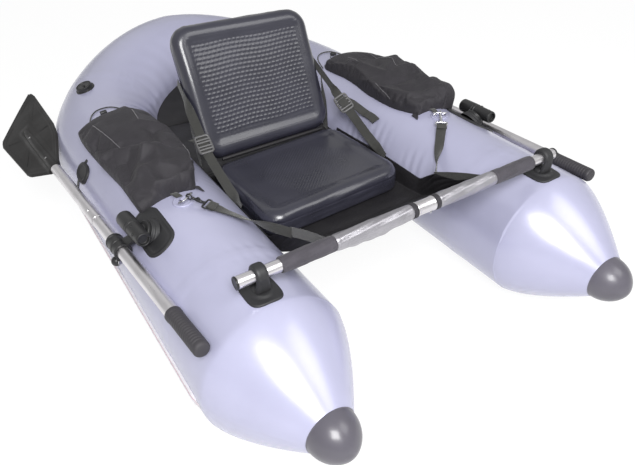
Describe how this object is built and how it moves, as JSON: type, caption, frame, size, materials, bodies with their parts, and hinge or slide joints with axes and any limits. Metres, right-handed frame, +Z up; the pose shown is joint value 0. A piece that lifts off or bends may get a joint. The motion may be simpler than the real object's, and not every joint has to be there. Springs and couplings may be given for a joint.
{
  "type": "float tube",
  "caption": "Inflatable U-shaped float tube with a slung floor, folding padded seat, crossbar, stowed oars, side bags and air valves.",
  "frame": {"origin": "under the middle of the overall box, on the ground that the two legs rest on", "axes": "+Y to the closed stern, -Y to the two cones, +Z up, +X to the left of the picture seen from the stern"},
  "size_m": [1.3454, 1.8461, 0.5606],
  "materials": {
    "anodised_aluminium": "satin",
    "black_fabric": "matt woven",
    "black_plastic": "satin",
    "black_pvc": "semi-matt",
    "black_rubber": "matt",
    "black_vinyl": "semi-gloss grained vinyl",
    "black_webbing": "woven webbing",
    "plated_steel": "bright",
    "silver_fabric": "matt coated",
    "silver_pvc": "semi-gloss coated fabric",
    "white_pvc": "semi-matt"
  },
  "bodies": {
    "hull": {"apron_sleeve_left": "silver_fabric", "apron_sleeve_right": "silver_fabric", "bar_mount_left": "black_rubber", "bar_mount_right": "black_rubber", "bar_plug_left": "black_plastic", "bar_plug_right": "black_plastic", "bar_sleeve_left": "black_fabric", "bar_sleeve_right": "black_fabric", "brace_strap_left": "black_webbing", "brace_strap_right": "black_webbing", "crossbar_ferrule": "anodised_aluminium", "crossbar_left": "anodised_aluminium", "crossbar_right": "anodised_aluminium", "front_strap_left": "black_webbing", "front_strap_right": "black_webbing", "hinge_bead": "black_webbing", "hull_tube": "silver_pvc", "nose_cap_left": "black_pvc", "nose_cap_right": "black_pvc", "oar_keeper_left": "black_rubber", "oar_keeper_right": "black_rubber", "oarlock_base_left": "black_rubber", "oarlock_base_right": "black_rubber", "rear_deck": "black_fabric", "ring_patch_left": "silver_pvc", "ring_patch_right": "silver_pvc", "rub_strake_left": "white_pvc", "rub_strake_right": "white_pvc", "seat_cushion": "black_vinyl", "seat_floor": "black_fabric", "side_bag_left": "black_fabric", "side_bag_right": "black_fabric", "side_strap_left": "black_webbing", "side_strap_right": "black_webbing", "strap_buckle_left": "black_plastic", "strap_buckle_right": "black_plastic", "valve_body_left": "black_plastic", "valve_body_right": "black_plastic"},
    "backrest": {"back_cushion": "black_vinyl"},
    "crossbar_button": {"crossbar_button": "plated_steel"},
    "swivel_right": {"oarlock_swivel_right": "black_plastic"},
    "oar_right": {"oar_shaft_right": "anodised_aluminium", "oar_blade_right": "black_plastic", "oar_grip_right": "black_rubber"},
    "lock_pin_right": {"lock_pin_right": "black_plastic"},
    "oar_button_right": {"oar_button_right": "plated_steel"},
    "ring_right": {"d_ring_right": "plated_steel", "snap_hook_right": "plated_steel"},
    "valve_cap_right": {"valve_cap_right": "black_plastic"},
    "swivel_left": {"oarlock_swivel_left": "black_plastic"},
    "oar_left": {"oar_shaft_left": "anodised_aluminium", "oar_blade_left": "black_plastic", "oar_grip_left": "black_rubber"},
    "lock_pin_left": {"lock_pin_left": "black_plastic"},
    "oar_button_left": {"oar_button_left": "plated_steel"},
    "ring_left": {"d_ring_left": "plated_steel", "snap_hook_left": "plated_steel"},
    "valve_cap_left": {"valve_cap_left": "black_plastic"}
  },
  "joints": [
    {"name": "backrest_fold", "type": "hinge", "parent": "hull", "child": "backrest", "pos_m": [0, 0.0179, 0.23847], "axis": [1, 0, 0], "range_deg": [0, 108], "deforming": ["side_strap_left", "strap_buckle_left", "brace_strap_left", "side_strap_right", "strap_buckle_right", "brace_strap_right"]},
    {"name": "crossbar_button_press", "type": "slide", "parent": "hull", "child": "crossbar_button", "axis": [0, 0.4695, 0.8829], "range_m": [0, 0.0035], "stiffness_N_per_m": 400, "springref_m": -0.002},
    {"name": "oarlock_yaw_right", "type": "hinge", "parent": "hull", "child": "swivel_right", "pos_m": [0.48198, -0.2882, 0.29708], "axis": [-0.8192, 0, -0.5736], "range_deg": [0, 120]},
    {"name": "oar_feather_right", "type": "hinge", "parent": "swivel_right", "child": "oar_right", "pos_m": [0.5465, -0.2472, 0.26179], "axis": [0.0528, 0.9964, -0.0668], "range_deg": [0, 70]},
    {"name": "lock_pin_pull_right", "type": "slide", "parent": "swivel_right", "child": "lock_pin_right", "axis": [0.3715, -0.0817, -0.9248], "range_m": [0, 0.03]},
    {"name": "oar_button_press_right", "type": "slide", "parent": "oar_right", "child": "oar_button_right", "axis": [-0.5361, -0.0281, -0.8437], "range_m": [0, 0.0028], "stiffness_N_per_m": 300, "springref_m": -0.002},
    {"name": "ring_swing_right", "type": "hinge", "parent": "hull", "child": "ring_right", "pos_m": [0.385, -0.2562, 0.33258], "axis": [-0.809, 0.5878, 0], "range_deg": [0, 60], "deforming": ["front_strap_right"]},
    {"name": "valve_cap_turn_right", "type": "hinge", "parent": "hull", "child": "valve_cap_right", "pos_m": [0.39397, 0.5094, 0.33315], "axis": [0.2999, -0.0144, 0.9538], "range_deg": [0, 90]},
    {"name": "oarlock_yaw_left", "type": "hinge", "parent": "hull", "child": "swivel_left", "pos_m": [-0.48198, -0.2882, 0.29708], "axis": [-0.8192, 0, 0.5736], "range_deg": [0, 120]},
    {"name": "oar_feather_left", "type": "hinge", "parent": "swivel_left", "child": "oar_left", "pos_m": [-0.5465, -0.2472, 0.26179], "axis": [0.0528, -0.9964, 0.0668], "range_deg": [0, 70]},
    {"name": "lock_pin_pull_left", "type": "slide", "parent": "swivel_left", "child": "lock_pin_left", "axis": [-0.3715, -0.0817, -0.9248], "range_m": [0, 0.03]},
    {"name": "oar_button_press_left", "type": "slide", "parent": "oar_left", "child": "oar_button_left", "axis": [0.5361, -0.0281, -0.8437], "range_m": [0, 0.0028], "stiffness_N_per_m": 300, "springref_m": -0.002},
    {"name": "ring_swing_left", "type": "hinge", "parent": "hull", "child": "ring_left", "pos_m": [-0.385, -0.2562, 0.33258], "axis": [-0.809, -0.5878, 0], "range_deg": [0, 60], "deforming": ["front_strap_left"]},
    {"name": "valve_cap_turn_left", "type": "hinge", "parent": "hull", "child": "valve_cap_left", "pos_m": [-0.39397, 0.5094, 0.33315], "axis": [0.2999, 0.0144, -0.9538], "range_deg": [0, 90]}
  ]
}
